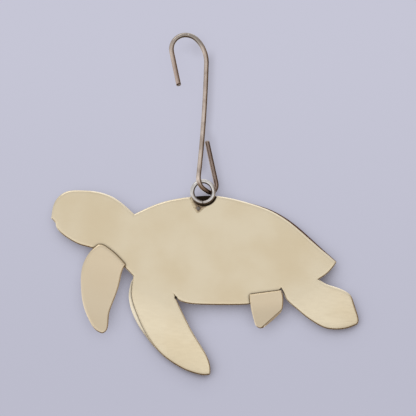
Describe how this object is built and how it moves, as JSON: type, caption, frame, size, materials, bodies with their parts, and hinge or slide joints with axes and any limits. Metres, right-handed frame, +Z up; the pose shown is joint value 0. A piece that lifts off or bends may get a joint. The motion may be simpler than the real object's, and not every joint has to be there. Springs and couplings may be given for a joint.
{
  "type": "turtle hanging ornament",
  "caption": "Flat sea turtle of layered sheet brass with a copper carapace and curled flippers, hung by a soldered wire ring from a bent wire hook on which it turns.",
  "frame": {"origin": "the point inside the hook's crook that bears on whatever the ornament hangs from", "axes": "+Z up, +X from the turtle's head to its tail, +Y from its plain back to its worked front"},
  "size_m": [0.077, 0.0059, 0.0857],
  "materials": {
    "brass_sheet": "satin, tumbled, with dark seams",
    "copper_sheet": "satin copper, darkened in the grooves",
    "silver_wire": "satin, tarnished near the solder",
    "solder": "dull, cast",
    "nickel_wire": "drawn, satin, with tool nicks"
  },
  "bodies": {
    "hook": {"hook": "nickel_wire"},
    "turtle": {"body_plate": "brass_sheet", "carapace": "copper_sheet", "near_front_flipper": "brass_sheet", "far_front_flipper": "brass_sheet", "far_rear_flipper": "brass_sheet", "hanging_ring": "silver_wire", "ring_solder": "solder"}
  },
  "joints": [
    {"name": "swivel", "type": "hinge", "parent": "hook", "child": "turtle", "pos_m": [0.0054, 0.0017, -0.0385], "axis": [0, 0, -1], "range_deg": [0, 90]}
  ]
}
